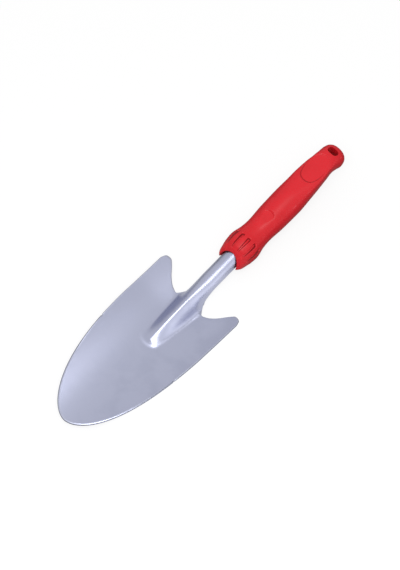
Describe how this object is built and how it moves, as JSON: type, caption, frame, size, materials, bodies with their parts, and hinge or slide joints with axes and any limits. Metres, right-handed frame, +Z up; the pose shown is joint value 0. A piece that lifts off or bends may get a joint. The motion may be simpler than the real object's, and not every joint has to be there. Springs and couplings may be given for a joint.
{
  "type": "garden trowel",
  "caption": "Garden trowel: a dished steel blade with a pressed rib and a rolled shank, held in a moulded plastic handle with a fluted collar, an oval pad and a hanging hole.",
  "frame": {"origin": "middle of the trowel's length and width, on the surface that it lies on", "axes": "+Y along the trowel from the blade's tip to the hanging hole, +Z up out of the blade's hollow side, +X across the blade"},
  "size_m": [0.0866, 0.3198, 0.037],
  "materials": {
    "satin_steel": "satin",
    "red_plastic": "semi-gloss moulded"
  },
  "bodies": {
    "root": {"blade": "satin_steel", "handle": "red_plastic"}
  },
  "joints": []
}
